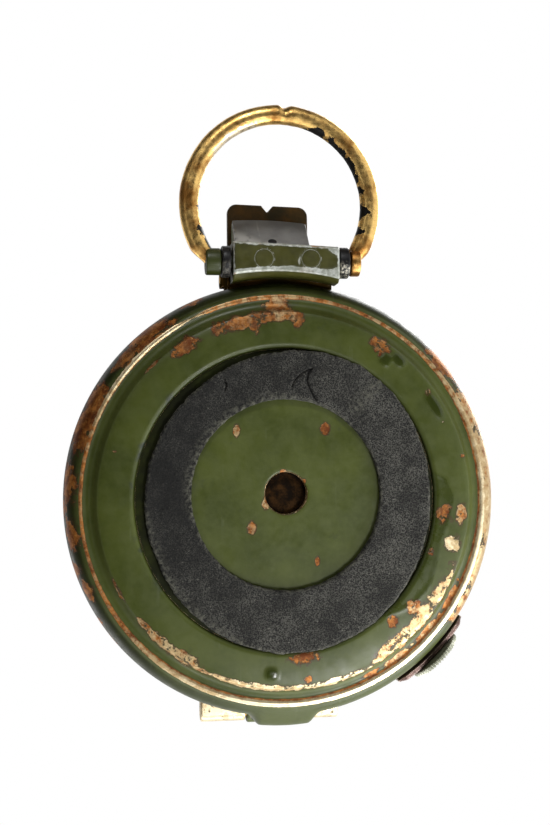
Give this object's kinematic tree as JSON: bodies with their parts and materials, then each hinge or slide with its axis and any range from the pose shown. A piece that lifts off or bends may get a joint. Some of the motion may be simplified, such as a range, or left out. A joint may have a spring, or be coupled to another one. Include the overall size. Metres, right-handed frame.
{
  "type": "magnetic compass",
  "caption": "Round brass prismatic compass in worn olive paint with hinged lid, stowed prism, clamped bezel and wire thumb ring, for taking bearings by hand.",
  "frame": {"origin": "middle of the outline seen from above, on the surface that the back pad rests on", "axes": "+Z from the back pad up to the lid, +Y from the thumb ring to the lid hinge"},
  "size_m": [0.0664, 0.0964, 0.0245],
  "materials": {
    "olive_paint": "semi-gloss olive paint on brass, worn to metal on the edges",
    "black_pad": "granular black pad, scuffed",
    "brass": "aged brass with a dull brown patina",
    "steel": "darkened, with bright worn spots",
    "dark_paint": "dark olive paint, rubbed",
    "grey_paint": "matt grey paint",
    "seal_rubber": "soft black seal",
    "dial_face": "pearl white dial card",
    "glass": "clear polished glass"
  },
  "bodies": {
    "case": {"case_shell": "olive_paint", "back_cover": "olive_paint", "back_pad": "black_pad", "diaphragm": "brass", "pivot_bridge": "brass", "bridge_screw_left": "steel", "bridge_screw_right": "steel", "pivot_post": "steel", "glass_seal": "seal_rubber", "dial_glass": "glass", "glass_retainer": "brass", "bezel_snap_ring": "steel", "lid_hinge_pin": "brass", "prism_bracket": "olive_paint", "bracket_screw_left": "brass", "bracket_screw_right": "brass", "prism_hinge_pin": "brass", "ring_block": "olive_paint", "block_screw_left": "olive_paint", "block_screw_right": "olive_paint", "ring_pivot_left": "brass", "ring_pivot_right": "brass", "ring_washer_left": "steel", "ring_washer_right": "steel"},
    "bezel": {"bezel_ring": "brass", "bezel_glass": "glass", "bezel_glass_ring": "dark_paint"},
    "dial": {"dial_card": "dial_face", "jewel_cap": "brass", "magnet_left": "steel", "magnet_right": "steel"},
    "lid": {"lid_frame": "olive_paint", "lid_glass": "glass", "lid_glass_ring": "brass"},
    "prism": {"prism_box": "olive_paint", "prism_glass": "glass", "prism_cover": "grey_paint", "prism_window_plate": "brass", "eye_lens": "glass"},
    "ring": {"thumb_ring": "brass"},
    "clamp": {"clamp_plate": "dark_paint"},
    "knob": {"clamp_knob": "steel"}
  },
  "joints": [
    {"name": "lid_hinge", "type": "hinge", "parent": "case", "child": "lid", "pos_m": [0, 0.04643, 0.01815], "axis": [-1, 0, 0], "range_deg": [0, 180]},
    {"name": "prism_flip", "type": "hinge", "parent": "case", "child": "prism", "pos_m": [0, -0.02327, 0.01755], "axis": [-1, 0, 0], "range_deg": [0, 180]},
    {"name": "thumb_ring_swing", "type": "hinge", "parent": "case", "child": "ring", "pos_m": [0, -0.02412, 0.00295], "axis": [-1, 0, 0], "range_deg": [-150, 40]},
    {"name": "bezel_turn", "type": "hinge", "parent": "case", "child": "bezel", "pos_m": [0, 0.01188, 0.014], "axis": [0, 0, 1], "continuous": true},
    {"name": "dial_turn", "type": "hinge", "parent": "case", "child": "dial", "pos_m": [0, 0.01188, 0.009], "axis": [0, 0, 1], "continuous": true},
    {"name": "clamp_slide", "type": "slide", "parent": "case", "child": "clamp", "axis": [-0.7009, -0.7133, 0], "range_m": [0, 0.0005]},
    {"name": "clamp_knob_turn", "type": "hinge", "parent": "clamp", "child": "knob", "pos_m": [0.02523, 0.03755, 0.0085], "axis": [-0.7009, -0.7133, 0], "range_deg": [0, 360]}
  ],
  "couplings": [
    {"joint": "prism_flip", "follows": "lid_hinge", "ratio": 1},
    {"joint": "clamp_knob_turn", "follows": "clamp_slide", "rad_per_m": 12566}
  ]
}
